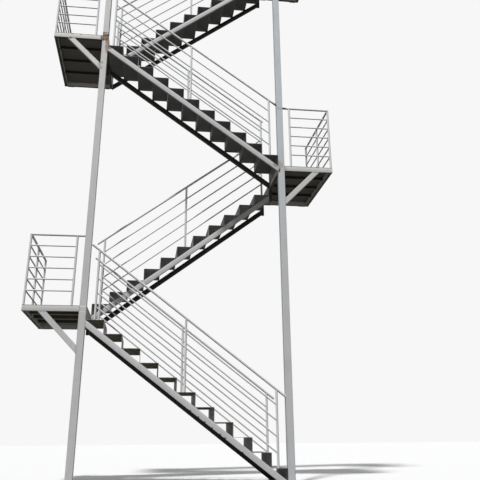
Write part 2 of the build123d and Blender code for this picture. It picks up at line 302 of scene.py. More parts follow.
def painted_steel(
    name, paint, grime=0.3, mottling=0.07, streaks=0.3, freckles=0.2,
    coat_and_shade_below=0.5, below=(0.055, 0.05, 0.042), bump=0.35, sheen=0.25, marks=(),
    paint_above=None, above=(2.8, 6.0), worn_and_lit=(),
):
    """Grey site paint on steel, with marks (place, reach, amount, tones) such as rust at welds.

    Over the heights above it turns to paint_above. Faces that look down turn to below: a thin coat
    and painted shade. The faces given as (direction, amount, colour) in the last argument turn
    lighter, for scuffs and for painted light.
    """
    look, tree, shader = new_look(name)
    shader.inputs["Specular IOR Level"].default_value = sheen
    coat = add_node(tree, "ShaderNodeGroup", {
        "Paint": (*paint, 1), "Grime": (*grime_tone, 1), "Grime amount": grime, "Mottling": mottling,
        "Streaks": streaks, "Freckles": freckles, "Coat and shade below": coat_and_shade_below, "Below": (*below, 1),
        "Paint above": (*(paint_above or paint), 1), "Above from": above[0], "Above to": above[1],
    }, node_tree=site_paint).outputs
    colour, rough = coat["Color"], coat["Roughness"]
    for direction, amount, tone in worn_and_lit:
        values = {"Looking": direction, "Amount": amount, "Worn and lit": (*tone, 1), "Under": colour}
        colour = add_node(tree, "ShaderNodeGroup", values, node_tree=worn_and_lit_faces).outputs["Color"]
    for where, far, amount, (dark, light) in marks:
        spot = add_node(tree, "ShaderNodeGroup", {
            "Place": where, "Reach": far, "Amount": amount,
            "Dark": (*dark, 1), "Light": (*light, 1), "Under": colour,
        }, node_tree=rust_and_highlight_patch).outputs
        colour = spot["Color"]
        rough = maths(tree, "MAXIMUM", spot["Mask"], rough)
    relief = {"Strength": bump, "Distance": paint_depth, "Height": coat["Height"]}
    uneven = add_node(tree, "ShaderNodeBump", relief).outputs[0]
    connect(tree, shader.inputs, {"Base Color": colour, "Roughness": rough, "Normal": uneven})
    return look


def dress(look, *names):
    """Give CAD nodes their finish."""
    for name in names:
        mesh = nodes[name].data
        mesh.materials.clear()
        mesh.materials.append(look)


def geometry(tree, kind, given, **settings):
    """Output of a Geometry Nodes node."""
    return add_node(tree, "GeometryNode" + kind, given, **settings).outputs[0]


def dressed(tree, shapes, finish):
    """Plain geometry with its finish, at the end of a Geometry Nodes tree."""
    real = geometry(tree, "RealizeInstances", {"Geometry": shapes})
    return geometry(tree, "SetMaterial", {"Geometry": real, "Material": finish})


def swept(tree, line, radius, sides):
    """Round bars along curves."""
    ring = geometry(tree, "CurvePrimitiveCircle", {"Resolution": sides, "Radius": 1.0})
    return geometry(tree, "CurveToMesh", {
        "Curve": line, "Profile Curve": ring, "Scale": radius, "Fill Caps": True,
    })


bead_sides = 6


def bead_tree():
    """Geometry Nodes: every path gets a weld bead along it, rippled by noise."""
    tree, given, result = new_group("weld beads", {
        "Paths": "Geometry", "Bead radius": "Float", "Ripple": "Float", "Ripple pitch": "Float",
        "Finish": "Material",
    }, {"Beads": "Geometry"}, "GeometryNodeTree")
    line = geometry(tree, "MeshToCurve", {"Mesh": given["Paths"]})
    stops = geometry(tree, "ResampleCurve", {"Curve": line, "Length": given["Ripple pitch"]}, mode="LENGTH")
    swell = maths(tree, "MULTIPLY", maths(tree, "SUBTRACT", noise(tree, 90, 1), 0.5), given["Ripple"])
    radius = maths(tree, "MULTIPLY", maths(tree, "MULTIPLY_ADD", swell, 3.0, 1.0), given["Bead radius"])
    smooth = geometry(tree, "SetShadeSmooth", {"Geometry": swept(tree, stops, radius, bead_sides)})
    connect(tree, result, {"Beads": dressed(tree, smooth, given["Finish"])})
    return tree


def path_mesh(name, paths, measures=None):
    """Mesh of edges from paths (points, closed), with one number per path for each named measure."""
    mesh = bpy.data.meshes.new(name)
    points, edges, owners = [], [], []
    for index, (stops, closed) in enumerate(paths):
        first = len(points)
        points += [tuple(stop) for stop in stops]
        owners += [index] * len(stops)
        edges += [(first + step, first + step + 1) for step in range(len(stops) - 1)]
        if closed:
            edges.append((first + len(stops) - 1, first))
    mesh.from_pydata(points, edges, [])
    for label, values in (measures or {}).items():
        attribute = mesh.attributes.new(label, "FLOAT", "POINT")
        for index, owner in enumerate(owners):
            attribute.data[index].value = values[owner]
    return mesh


round_edge = math.radians(40)


def grown(name, mesh, tree, values):
    """Piece that a Geometry Nodes tree makes from a mesh, as a plain mesh."""
    piece = new_object(name, mesh)
    modifier = piece.modifiers.new("make", "NODES")
    modifier.node_group = tree
    for item in tree.interface.items_tree:
        if item.in_out == "INPUT" and item.name in values:
            modifier[item.identifier] = values[item.name]
    evaluated = piece.evaluated_get(bpy.context.evaluated_depsgraph_get())
    made = bpy.data.meshes.new_from_object(evaluated)
    piece.modifiers.clear()
    piece.data = made
    made.name = name
    made.set_sharp_from_angle(angle=round_edge)
    return piece


def on_body(piece, slot_name, *replaced):
    """Fix a new piece to the stair and hide the nodes that it stands for. slot_name is not used."""
    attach(piece, "root")
    if replaced:
        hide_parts(*replaced)


weld_beads = bead_tree()
weld_look = painted_steel(
    "painted weld", (0.33, 0.325, 0.32), grime=0.6, mottling=0.2, freckles=1.0, bump=0.5,
)
bead_swell, bead_ripple, ripple_pitch = 1.5, 0.35, 0.007
corner_steps = 3
x_axis, y_axis, z_axis = (1, 0, 0), (0, 1, 0), (0, 0, 1)


def inside(point, low, high):
    """The nearest point of the box from low to high."""
    return Vector(min(max(value, least), most) for value, least, most in zip(point, low, high))


def weld_piece(name, slot_name, paths, radius=0.003):
    """All the weld beads of one section, as one piece, none of them outside the stair's own box."""
    margin = Vector((1, 1, 1)) * bead_swell * radius
    low, high = Vector(cad_box[0]) + margin, Vector(cad_box[1]) - margin
    paths = [([inside(stop, low, high) for stop in stops], closed) for stops, closed in paths]
    values = {"Bead radius": radius, "Ripple": bead_ripple, "Ripple pitch": ripple_pitch, "Finish": weld_look}
    on_body(grown(name, path_mesh(name, paths), weld_beads, values), slot_name)


def rounded(width, height, corner):
    """Outline (x, y) of a rectangle with rounded corners."""
    points = []
    for quarter, (side_x, side_y) in enumerate(((1, 1), (-1, 1), (-1, -1), (1, -1))):
        for step in range(corner_steps + 1):
            angle = math.radians(90 * quarter + 90 * step / corner_steps)
            points.append((
                side_x * (width / 2 - corner) + corner * math.cos(angle),
                side_y * (height / 2 - corner) + corner * math.sin(angle),
            ))
    return points


def box_seam(centre, across, along, section):
    """Closed path round a section (width, height, corner): across and along are its unit directions."""
    centre, across, along = Vector(centre), Vector(across), Vector(along)
    return [centre + across * x + along * y for x, y in rounded(*section)], True


columns = {side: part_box(f"column_{side}") for side in ("left", "right")}
column_x = {side: (low[0] + high[0]) / 2 for side, (low, high) in columns.items()}
column_half = 0.05
column_section = (2 * column_half, 2 * column_half, 0.008)
splice_height = 6.86
column_bead = 0.004
dress(painted_steel(
    "left column paint", (0.500, 0.500, 0.498), mottling=0.06, streaks=0.5,
    paint_above=(0.580, 0.580, 0.576),
    marks=(
        ((-0.022, -0.05, 6.272), (0.028, 0.02, 0.022), 0.45, scorch_tones),
        ((-0.030, -0.05, 6.176), (0.020, 0.02, 0.022), 0.55, scorch_tones),
        # Light lines across the front at the first landing's beam edges: painted highlight along the seams.
        ((0.000, -0.05, 2.296), (0.055, 0.02, 0.012), 0.9, seam_highlight_tones),
        ((0.000, -0.05, 2.222), (0.055, 0.02, 0.008), 0.6, pale_seam_highlight_tones),
        ((0.053, 0.0, 7.10), (0.014, 0.20, 0.75), 0.85, rust_tones),
        ((0.0, 0.0, 6.765), (0.40, 0.40, 0.090), 0.95, stain_tones),
        ((0.0, 0.0, 6.790), (0.40, 0.40, 0.018), 0.9, rust_tones),
        ((0.0, 0.0, 6.722), (0.40, 0.40, 0.020), 0.9, rust_tones),
        ((0.045, -0.05, 6.60), (0.045, 0.05, 0.16), 0.75, stain_tones),
    ),
), "column_left")
dress(painted_steel(
    "right column paint", (0.485, 0.492, 0.500), mottling=0.06, streaks=0.5,
    paint_above=(0.525, 0.562, 0.592),
    marks=(
        ((2.878, -0.05, 4.60), (0.014, 0.03, 0.075), 1.0, scorch_tones),
        ((2.905, -0.05, 4.59), (0.055, 0.03, 0.075), 0.75, primer_tones),
        ((2.890, -0.05, 4.50), (0.016, 0.03, 0.040), 1.0, scorch_tones),
        ((2.925, -0.05, 5.605), (0.06, 0.03, 0.03), 0.5, primer_tones),
    ),
), "column_right")
dress(painted_steel(
    "base plate paint", (0.40, 0.40, 0.40), grime=0.6, mottling=0.12, streaks=0.2, freckles=0.6,
), "column_caps", "base_plate_left", "base_plate_right", "stringer_foot_plates")

column_seams = [
    box_seam((column_x[side], 0, height), x_axis, y_axis, column_section)
    for side, (low, high) in columns.items() for height in (low[2], high[2])
]
column_seams.append(box_seam((column_x["left"], 0, splice_height), x_axis, y_axis, column_section))
weld_piece("column_welds", "columns", column_seams, column_bead)

# Anchor bolts.
# Threaded M16 studs set in the footing, four to a base plate, each with a washer and a hexagon
# nut. The wall plates have one anchor each.


def loft(mesh, rings):
    """Closed solid in a bmesh through rings of points."""
    rings = [[mesh.verts.new(point) for point in ring] for ring in rings]
    for lower, upper in zip(rings, rings[1:]):
        for step in range(len(lower)):
            after = (step + 1) % len(lower)
            mesh.faces.new((lower[step], lower[after], upper[after], upper[step]))
    mesh.faces.new(list(reversed(rings[0])))
    mesh.faces.new(rings[-1])


def mesh_from(name, mesh):
    """Mesh data from a bmesh, which is freed."""
    made = bpy.data.meshes.new(name)
    mesh.to_mesh(made)
    mesh.free()
    return made


def circle(stops):
    """Points (x, y) evenly round a circle of radius 1."""
    angles = (2 * math.pi * step / stops for step in range(stops))
    return [(math.cos(angle), math.sin(angle)) for angle in angles]


def revolved(mesh, outline, sides):
    """Solid of revolution round +Z in a bmesh, from an outline of (radius, height)."""
    loft(mesh, [[(radius * x, radius * y, height) for x, y in circle(sides)] for radius, height in outline])


def anchor_mesh():
    """Washer, hexagon nut and threaded stud end, standing on z = 0."""
    washer_radius, washer_height, washer_edge, washer_sides = 0.016, 0.003, 0.0005, 24
    nut_flat, nut_height, nut_bevel, nut_crown, nut_sides = 0.012, 0.013, 0.0015, 0.93, 6
    stud_radius, stud_height, stud_bevel, stud_sides = 0.008, 0.034, 0.001, 16
    thread_pitch, thread_depth = 0.002, 0.0009
    mesh = bmesh.new()
    revolved(mesh, (
        (washer_radius - washer_edge, 0.0), (washer_radius, washer_edge),
        (washer_radius, washer_height - washer_edge), (washer_radius - washer_edge, washer_height),
    ), washer_sides)
    corner = nut_flat / math.cos(math.radians(30))
    top = washer_height + nut_height
    revolved(mesh, (
        (corner * nut_crown, washer_height), (corner, washer_height + nut_bevel),
        (corner, top - nut_bevel), (corner * nut_crown, top),
    ), nut_sides)
    thread = [(stud_radius - stud_bevel, washer_height + stud_bevel)]
    height = top
    while height < stud_height:
        thread += [(stud_radius - thread_depth, height), (stud_radius, height + thread_pitch / 2)]
        height += thread_pitch
    thread.append((stud_radius - thread_depth, stud_height))
    thread.append((stud_radius - 2 * stud_bevel, stud_height + stud_bevel))
    revolved(mesh, thread, stud_sides)
    return mesh_from("anchor", mesh)


def read(tree, label, kind="FLOAT"):
    """Value that the points of a mesh carry under a name."""
    carried = add_node(tree, "GeometryNodeInputNamedAttribute", {"Name": label}, data_type=kind)
    return carried.outputs["Attribute"]


def placed_tree():
    """Geometry Nodes: a copy of one shape on every point, turned to the point's outward direction."""
    tree, given, result = new_group("shapes on points", {
        "Points": "Geometry", "Shape": "Object", "Finish": "Material", "Spin": "Float", "Seed": "Int",
    }, {"Copies": "Geometry"}, "GeometryNodeTree")
    shape = add_node(tree, "GeometryNodeObjectInfo", {"Object": given["Shape"]}).outputs["Geometry"]
    direction = {"Vector": read(tree, "outward", "FLOAT_VECTOR")}
    tilt = add_node(tree, "FunctionNodeAlignRotationToVector", direction, axis="Z").outputs[0]
    chance = add_node(tree, "FunctionNodeRandomValue", {"Seed": given["Seed"]}, data_type="FLOAT").outputs[1]
    angle = maths(tree, "ADD", read(tree, "turned"), maths(tree, "MULTIPLY", chance, given["Spin"]))
    spun = add_node(tree, "FunctionNodeAxisAngleToRotation", {"Axis": z_axis, "Angle": angle}).outputs[0]
    both = add_node(tree, "FunctionNodeRotateRotation", {0: tilt, 1: spun}, rotation_space="LOCAL").outputs[0]
    placed = {"Points": given["Points"], "Instance": shape, "Rotation": both}
    copies = geometry(tree, "InstanceOnPoints", placed)
    connect(tree, result, {"Copies": dressed(tree, copies, given["Finish"])})
    return tree


def point_mesh(name, places):
    """Mesh of points, each with its outward direction and its turn: (point, outward, turned)."""
    mesh = bpy.data.meshes.new(name)
    mesh.from_pydata([tuple(point) for point, _, _ in places], [], [])
    mesh.attributes.new("outward", "FLOAT_VECTOR", "POINT")
    mesh.attributes.new("turned", "FLOAT", "POINT")
    for index, (_, direction, turned) in enumerate(places):
        mesh.attributes["outward"].data[index].vector = direction
        mesh.attributes["turned"].data[index].value = turned
    return mesh


anchor_shape = bpy.data.objects.new("anchor shape", anchor_mesh())
shapes_on_points = placed_tree()
zinc_look, zinc, zinc_shader = new_look("weathered zinc")
rusting = ranged(zinc, noise(zinc, 90, 4, object_place(zinc)), 0.52, 0.66)
connect(zinc, zinc_shader.inputs, {
    "Base Color": mixed(zinc, rusting, (0.50, 0.49, 0.46, 1), (0.22, 0.12, 0.07, 1)),
    "Roughness": ranged(zinc, rusting, 0, 1, 0.42, 0.85),
})
zinc_shader.inputs["Metallic"].default_value = 0.7


def copies_piece(name, slot_name, places, values):
    """Piece of equal shapes over many places."""
    on_body(grown(name, point_mesh(name, places), shapes_on_points, values), slot_name)


anchor_reach, turn_seed = 0.075, 7
anchor_values = {"Shape": anchor_shape, "Finish": zinc_look, "Spin": 1.0, "Seed": turn_seed}
copies_piece("foot_anchors", "columns", [
    ((column_x[side] + dx, dy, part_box(f"base_plate_{side}")[1][2]), z_axis, 0.0)
    for side in columns for dx in (-anchor_reach, anchor_reach) for dy in (-anchor_reach, anchor_reach)
], anchor_values)

# Landing frames.
# Each is a rectangle of 80 by 50 mm hollow beams with three joists between them, welded to the
# column. The joists are near black.
Landing = namedtuple("Landing", "number level out outer_end column_face inner_edge")


def bar_into(mesh, ends, across, section):
    """Closed bar in a bmesh, its long edges rounded, its depth upright, with plumb ends."""
    loft(mesh, [box_seam(end, across, z_axis, section)[0] for end in ends])


blunt_edge = math.radians(50)


def finished(name, mesh, look):
    """Object from a bmesh: outward faces, smooth where the edge is blunt."""
    bmesh.ops.recalc_face_normals(mesh, faces=mesh.faces)
    made = mesh_from(name, mesh)
    made.materials.append(look)
    made.shade_smooth()
    made.set_sharp_from_angle(angle=blunt_edge)
    return new_object(name, made)


# Out is the way along X that a landing reaches from its column, and the last three are places there.
landings = []
for number, out in ((1, -1), (2, 1), (3, -1), (4, 1)):
    low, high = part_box(f"landing_{number}_floor")
    outer_end, inner_edge = (low[0], high[0]) if out < 0 else (high[0], low[0])
    landings.append(Landing(number, high[2], out, outer_end, inner_edge + out * 2 * column_half, inner_edge))
front_face, back_face = (corner[1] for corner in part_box("landing_1_floor"))
beam_width, beam_depth, beam_corner = 0.05, 0.08, 0.006
beam_section = (beam_width, beam_depth, beam_corner)
joist_side, joist_corner = 0.05, 0.005
joist_section = (joist_side, joist_side, joist_corner)
deck_thickness = 0.005
front_beam, back_beam = front_face + beam_width / 2, back_face - beam_width / 2
joists = 3
joist_pitch = (back_beam - front_beam) / (joists + 1)
frame_look = painted_steel(
    "landing paint", (0.530, 0.530, 0.527), coat_and_shade_below=1.0, sheen=0.12,
    paint_above=(0.670, 0.655, 0.620), above=(3.6, 6.6),
    marks=(
        ((-0.055, -0.05, 6.75), (0.03, 0.05, 0.06), 0.9, stain_tones),
        ((-0.573, -0.05, 6.715), (0.035, 0.02, 0.012), 0.6, scorch_tones),
        ((-0.543, -0.05, 6.788), (0.02, 0.03, 0.012), 0.9, rust_tones),
        ((-0.409, -0.05, 6.788), (0.014, 0.03, 0.012), 0.9, rust_tones),
        ((2.985, -0.05, 4.545), (0.03, 0.03, 0.05), 0.4, primer_tones),
    ),
)
# Near black: the back stringers, the hangers and the joists.
near_black_weathering = {"mottling": 0.2, "streaks": 0.2, "freckles": 0.5}
near_black_look = painted_steel("near-black steel", (0.055, 0.052, 0.048), coat_and_shade_below=0.0, sheen=0.12, **near_black_weathering)
# Colours of the faces that look down: painted shade over a thin coat, with dust on the first landing.
shaded_underside, dusty_shaded_underside = (0.140, 0.134, 0.119), (0.260, 0.245, 0.205)
dusty_joist_look, joist_look = (
    painted_steel(name, paint, coat_and_shade_below=1.0, below=below, sheen=0.06, **near_black_weathering)
    for name, paint, below in (
        ("dusty near-black joist", (0.095, 0.088, 0.074), dusty_shaded_underside),
        ("near-black joist", (0.045, 0.042, 0.038), shaded_underside),
    )
)

frame_seams = []
for number, level, out, outer_end, column_face, inner_edge in landings:
    beam_top = level - deck_thickness
    middle = beam_top - beam_depth / 2
    mesh = bmesh.new()
    for end_x, y in ((column_face, front_beam), (inner_edge, back_beam)):
        bar_into(mesh, ((outer_end, y, middle), (end_x, y, middle)), y_axis, beam_section)
    for x, start_y in (
        (outer_end - out * beam_width / 2, front_face + beam_width),
        (inner_edge + out * beam_width / 2, column_half),
    ):
        ends = ((x, start_y, middle), (x, back_face - beam_width, middle))
        bar_into(mesh, ends, x_axis, beam_section)
        frame_seams += [box_seam(end, x_axis, z_axis, beam_section) for end in ends]
    on_body(finished(f"landing_{number}_beams", mesh, frame_look), "beams", f"landing_{number}_frame")
    mesh = bmesh.new()
    for index in range(1, joists + 1):
        y, z = front_beam + index * joist_pitch, beam_top - joist_side / 2
        ends = ((outer_end - out * beam_width, y, z), (inner_edge + out * beam_width, y, z))
        bar_into(mesh, ends, y_axis, joist_section)
        frame_seams += [box_seam(end, y_axis, z_axis, joist_section) for end in ends]
    look = dusty_joist_look if number == 1 else joist_look
    on_body(finished(f"landing_{number}_joists", mesh, look), "beams", f"landing_{number}_frame")
    frame_seams.append(box_seam((column_face, front_beam, middle), y_axis, z_axis, beam_section))
weld_piece("landing_welds", "beams", frame_seams)

# Landing floors.
# Raised-pattern steel plate, 5 mm thick, tacked to the beams and joists. The lozenges of the
# pattern stand up on the walking side only. The underside is darker: a thin coat over mill scale,
# and painted shade.
dusty_shaded_floor_look, floor_look = (
    painted_steel(
        name, (0.20, 0.195, 0.185), grime=0.5, mottling=0.22, streaks=0.1, freckles=0.5,
        coat_and_shade_below=1.0, below=below, sheen=0.06,
    )
    for name, below in (("dusty shaded floor plate", dusty_shaded_underside), ("floor plate", shaded_underside))
)
dress(dusty_shaded_floor_look, "landing_1_floor")
dress(floor_look, "landing_2_floor", "landing_3_floor", "landing_4_floor")


def lozenge_mesh():
    """One raised mark of the plate's pattern, its foot sunk a little into the plate."""
    half_length, half_width, height, sunk, shoulder = 0.0125, 0.0045, 0.0013, 0.0003, 0.55
    corners = ((half_length, 0), (0, half_width), (-half_length, 0), (0, -half_width))
    mesh = bmesh.new()
    rings = ((1, -sunk), (shoulder, height))
    loft(mesh, [[(x * share, y * share, z) for x, y in corners] for share, z in rings])
    return mesh_from("lozenge", mesh)


lozenge_shape = bpy.data.objects.new("lozenge shape", lozenge_mesh())
lozenge_pitch, lozenge_margin, lozenge_turn = 0.034, 0.018, math.radians(45)


def lozenges_over(low_x, high_x, low_y, high_y, height, keep_clear=()):
    """Places of the raised marks over a rectangle, turned one way and the other in turn."""
    places = []
    across = int((high_x - low_x - 2 * lozenge_margin) / lozenge_pitch)
    along = int((high_y - low_y - 2 * lozenge_margin) / lozenge_pitch)
    start_x = (low_x + high_x - across * lozenge_pitch) / 2
    start_y = (low_y + high_y - along * lozenge_pitch) / 2
    for row in range(along + 1):
        for place in range(across + 1):
            x, y = start_x + place * lozenge_pitch, start_y + row * lozenge_pitch
            if not any(abs(x - cx) < half and abs(y - cy) < half for cx, cy, half in keep_clear):
                places.append(((x, y, height), z_axis, lozenge_turn if (row + place) % 2 else -lozenge_turn))
    return places


floor_marks = []
for landing in landings:
    low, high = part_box(f"landing_{landing.number}_floor")
    clear = ((column_x["left" if landing.out < 0 else "right"], 0, column_half + lozenge_margin),)
    floor_marks += lozenges_over(low[0], high[0], low[1], high[1], landing.level, clear)
mark_values = {"Shape": lozenge_shape, "Finish": floor_look, "Spin": 0.0, "Seed": turn_seed}
copies_piece("floor_pattern", "plates", floor_marks, mark_values)

# Knee braces.
# A length of the beams' own 80 by 50 mm section under each landing, cut to 45 degrees at both
# ends and welded all round to the column and to the front beam.
brace_leg, brace_bead = 0.51, 0.0035
brace_cut = (beam_width, beam_depth * math.sqrt(2), beam_corner)
brace_look = painted_steel(
    "brace paint", (0.510, 0.512, 0.515), coat_and_shade_below=0.8,
    paint_above=(0.635, 0.636, 0.628), above=(3.6, 6.3),
    marks=(
        ((-0.573, -0.05, 6.700), (0.035, 0.02, 0.014), 0.7, scorch_tones),
        ((-0.068, -0.05, 6.224), (0.028, 0.02, 0.050), 0.35, scorch_tones),
    ),
)
brace_seams = []
for landing in landings:
    dress(brace_look, f"landing_{landing.number}_brace")
    top = landing.level - deck_thickness - beam_depth
    low_end = (landing.column_face, front_beam, top - brace_leg)
    high_end = (landing.column_face + landing.out * brace_leg, front_beam, top)
    brace_seams.append(box_seam(low_end, y_axis, z_axis, brace_cut))
    brace_seams.append(box_seam(high_end, y_axis, x_axis, brace_cut))
weld_piece("brace_welds", "beams", brace_seams, brace_bead)

# Wall plates and hangers.
# Plates behind the back beams take one anchor each into the wall. Short hollow hangers under the
# landings carry the stringers that have no column beside them.
dress(frame_look, "wall_plates")
dress(near_black_look, "stringer_hangers")
bolt_height, bolt_inset = 0.055, 0.12
copies_piece("wall_anchors", "beams", [
    ((x, back_face, landing.level + bolt_height), (0, -1, 0), 0.0)
    for landing in landings
    for x in (landing.outer_end - landing.out * bolt_inset, landing.inner_edge + landing.out * bolt_inset)
], anchor_values)

# Stringers.
# Two 80 by 40 mm hollow sections a flight, cut plumb at their ends and welded to the column, a
# hanger or the ground plate. The front ones are painted grey, the back ones are near black.
run = column_x["right"] - column_x["left"] - 2 * column_half
risers = 12
last_tread_cut = 0.042
flight_width, flight_gap = 0.83, 0.05
stringer_width, stringer_depth, stringer_corner = 0.04, 0.08, 0.006
step_plate, step_gap = 0.004, 0.001


class Flight:
    """Measures of one flight. A place along it is u, its distance downhill from the upper landing."""

    def __init__(self, number, lower):
        landing = landings[number - 1]
        self.number, self.lower, self.upper = number, lower, landing.level
        self.top_x, self.downhill = landing.inner_edge, -landing.out
        self.riser = (self.upper - lower) / risers
        self.going = (run + (last_tread_cut if number == 1 else 0)) / (risers - 1)
        self.fall = (self.upper - lower - self.riser) / run
        self.front = front_face if number % 2 else front_face + flight_width + flight_gap
        self.back = self.front + flight_width
        self.stringers = (self.front + stringer_width / 2, self.back - stringer_width / 2)

    def x(self, u):
        """Place along X."""
        return self.top_x + self.downhill * u

    def seat(self, u):
        """Height of the stringers' top."""
        return self.upper - self.riser - step_plate - (u - step_gap) * self.riser / self.going


def cut_level(mesh, height):
    """Cut the foot off a closed bmesh at a height, and close it again."""
    plane = {"plane_co": (0, 0, height), "plane_no": z_axis}
    everything = [*mesh.verts, *mesh.edges, *mesh.faces]
    cut = bmesh.ops.bisect_plane(mesh, geom=everything, clear_inner=True, **plane)
    rim = [part for part in cut["geom_cut"] if isinstance(part, bmesh.types.BMEdge)]
    bmesh.ops.edgenet_fill(mesh, edges=rim)


lower_levels = [0.0] + [landing.level for landing in landings[:3]]
flights = [Flight(number, lower) for number, lower in enumerate(lower_levels, start=1)]
# Dark notches along the lower edge of the first flight's front stringer.
lower_edge_notches = (
    (1.541, 0.905), (1.652, 0.824), (1.743, 0.761), (1.839, 0.682),
    (1.953, 0.606), (2.020, 0.556), (2.258, 0.377),
)
notch_lift, notch_reach = 0.004, (0.019, 0.03, 0.019)
stringer_look = painted_steel(
    "stringer paint", (0.505, 0.507, 0.510), streaks=0.2, coat_and_shade_below=0.9,
    paint_above=(0.530, 0.534, 0.538), above=(3.0, 6.5),
    marks=(
        ((0.07, -0.05, 6.59), (0.06, 0.05, 0.07), 0.9, stain_tones),
        ((0.05, -0.05, 6.61), (0.03, 0.05, 0.06), 0.9, rust_tones),
        ((2.835, -0.05, 4.60), (0.055, 0.04, 0.05), 0.55, scorch_tones),
        *(((x, -0.05, z + notch_lift), notch_reach, 0.9, scorch_tones) for x, z in lower_edge_notches),
    ),
)
stringer_seams = []
for flight in flights:
    plumb = stringer_depth / math.cos(math.atan2(flight.riser, flight.going))
    section = (stringer_width, plumb, stringer_corner)
    for place, y, look in zip(("front", "back"), flight.stringers, (stringer_look, near_black_look)):
        ends = [(flight.x(u), y, flight.seat(u) - plumb / 2) for u in (0, run)]
        mesh = bmesh.new()
        bar_into(mesh, ends, y_axis, section)
        if flight.number == 1:
            cut_level(mesh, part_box("stringer_foot_plates")[1][2])
        piece = finished(f"flight_{flight.number}_{place}_stringer", mesh, look)
        on_body(piece, "beams", f"flight_{flight.number}_stringers")
        stringer_seams += [box_seam(end, y_axis, z_axis, section) for end in ends if end[2] > plumb / 2]
weld_piece("stringer_welds", "beams", stringer_seams)

# Steps.
# Each is one strip of raised-pattern plate bent down at the nose, tread and riser in one. It
# stands on both stringers and is tacked to them.
bend_radius, bend_steps = 0.007, 4
scuffed_and_lit = (0.34, 0.33, 0.305)
# Faces that look towards +X, the risers of the first and third flights, turn lighter: painted light. Faces
# that look to the front are scuffed lighter.
edges_worn, risers_lit = ((0, -1, 0), 1.0, scuffed_and_lit), (x_axis, 1.0, scuffed_and_lit)
step_look, dusty_and_lit_step_look, scuffed_and_lit_step_look = (
    painted_steel(
        name, paint, grime=0.45, mottling=0.16, streaks=0.2, freckles=0.35,
        coat_and_shade_below=coat_and_shade_below, below=below, sheen=0.1, worn_and_lit=worn_and_lit,
    )
    for name, paint, coat_and_shade_below, below, worn_and_lit in (
        ("step paint", (0.125, 0.125, 0.123), 0.2, (0.055, 0.05, 0.042), (edges_worn,)),
        ("dusty and lit step paint", (0.125, 0.119, 0.108), 1.0, (0.112, 0.097, 0.072), (edges_worn, risers_lit)),
        ("scuffed_and_lit step paint", (0.125, 0.125, 0.123), 0.2, (0.055, 0.05, 0.042), (edges_worn, risers_lit)),
    )
)
step_looks = (dusty_and_lit_step_look, step_look, scuffed_and_lit_step_look, step_look)


def bent_outline(flight, index):
    """Side view (u, height) of one step, bent over a round nose. Index 0 is the plate at the landing."""
    if index == 0:
        return [
            (0, flight.upper), (step_plate, flight.upper),
            (step_plate, flight.seat(step_plate)), (0, flight.seat(0)),
        ]
    start = (index - 1) * flight.going + step_gap + (step_plate if index == 1 else 0)
    nose = min(index * flight.going, run)
    top = flight.upper - index * flight.riser
    middle_u, middle_z = nose - bend_radius, top - bend_radius
    angles = [math.radians(90 - 90 * step / bend_steps) for step in range(bend_steps + 1)]
    bend, hollow = (
        [(middle_u + radius * math.cos(angle), middle_z + radius * math.sin(angle)) for angle in angles]
        for radius in (bend_radius, bend_radius - step_plate)
    )
    return [
        (start, top), *bend, (nose, flight.seat(nose)), (nose - step_plate, flight.seat(nose - step_plate)),
        *reversed(hollow), (start, top - step_plate),
    ]


tack_offset, tack_half, tack_clearance = 0.014, 0.006, 0.02
step_marks, step_seams = [], []
for flight, look in zip(flights, step_looks):
    node = f"flight_{flight.number}_steps"
    mesh = bmesh.new()
    for index in range(risers):
        outline = bent_outline(flight, index)
        if flight.lower == 0 and index == risers - 1:
            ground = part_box(node)[0][2]
            outline = [(u, max(height, ground)) for u, height in outline]
        loft(mesh, [[(flight.x(u), y, height) for u, height in outline] for y in (flight.front, flight.back)])
        if index == 0:
            continue
        start, nose = outline[0][0], min(index * flight.going, run)
        top = flight.upper - index * flight.riser
        low_x, high_x = sorted((flight.x(start), flight.x(nose - bend_radius)))
        step_marks += lozenges_over(low_x, high_x, flight.front, flight.back, top)
        if flight.seat(nose) > flight.lower + tack_clearance:
            x, z = flight.x(nose - step_plate), flight.seat(nose - step_plate)
            step_seams += [
                ([(x, y + shift - tack_half, z), (x, y + shift + tack_half, z)], False)
                for y in flight.stringers for shift in (-tack_offset, tack_offset)
            ]
    on_body(finished(f"flight_{flight.number}_bent_steps", mesh, look), "plates", node)
copies_piece("step_pattern", "plates", step_marks, {**mark_values, "Finish": step_look})
weld_piece("step_tacks", "plates", step_seams)

# Railings.
# Round tube with welded joints: 34 mm posts and top rails, 22 mm bars between them. Each bar is
# cut and fitted between the posts.
post_radius, bar_radius = 0.017, 0.011
tube_sides, ball_rings = 18, 9
knuckle_stub = Vector((0, 0, 0.001))
saddle_stops, foot_stops, post_fit, rail_weld = 14, 16, 0.98, 0.0026
railing_look = painted_steel(
    "railing paint", (0.60, 0.602, 0.605), mottling=0.08, freckles=0.3, sheen=0.4,
    paint_above=(0.66, 0.668, 0.676), above=(3.0, 6.0),
    marks=(
        ((2.850, -0.033, 5.635), (0.10, 0.04, 0.09), 0.9, scorch_tones),
        ((2.990, -0.033, 5.622), (0.055, 0.04, 0.04), 0.9, scorch_tones),
    ),
)


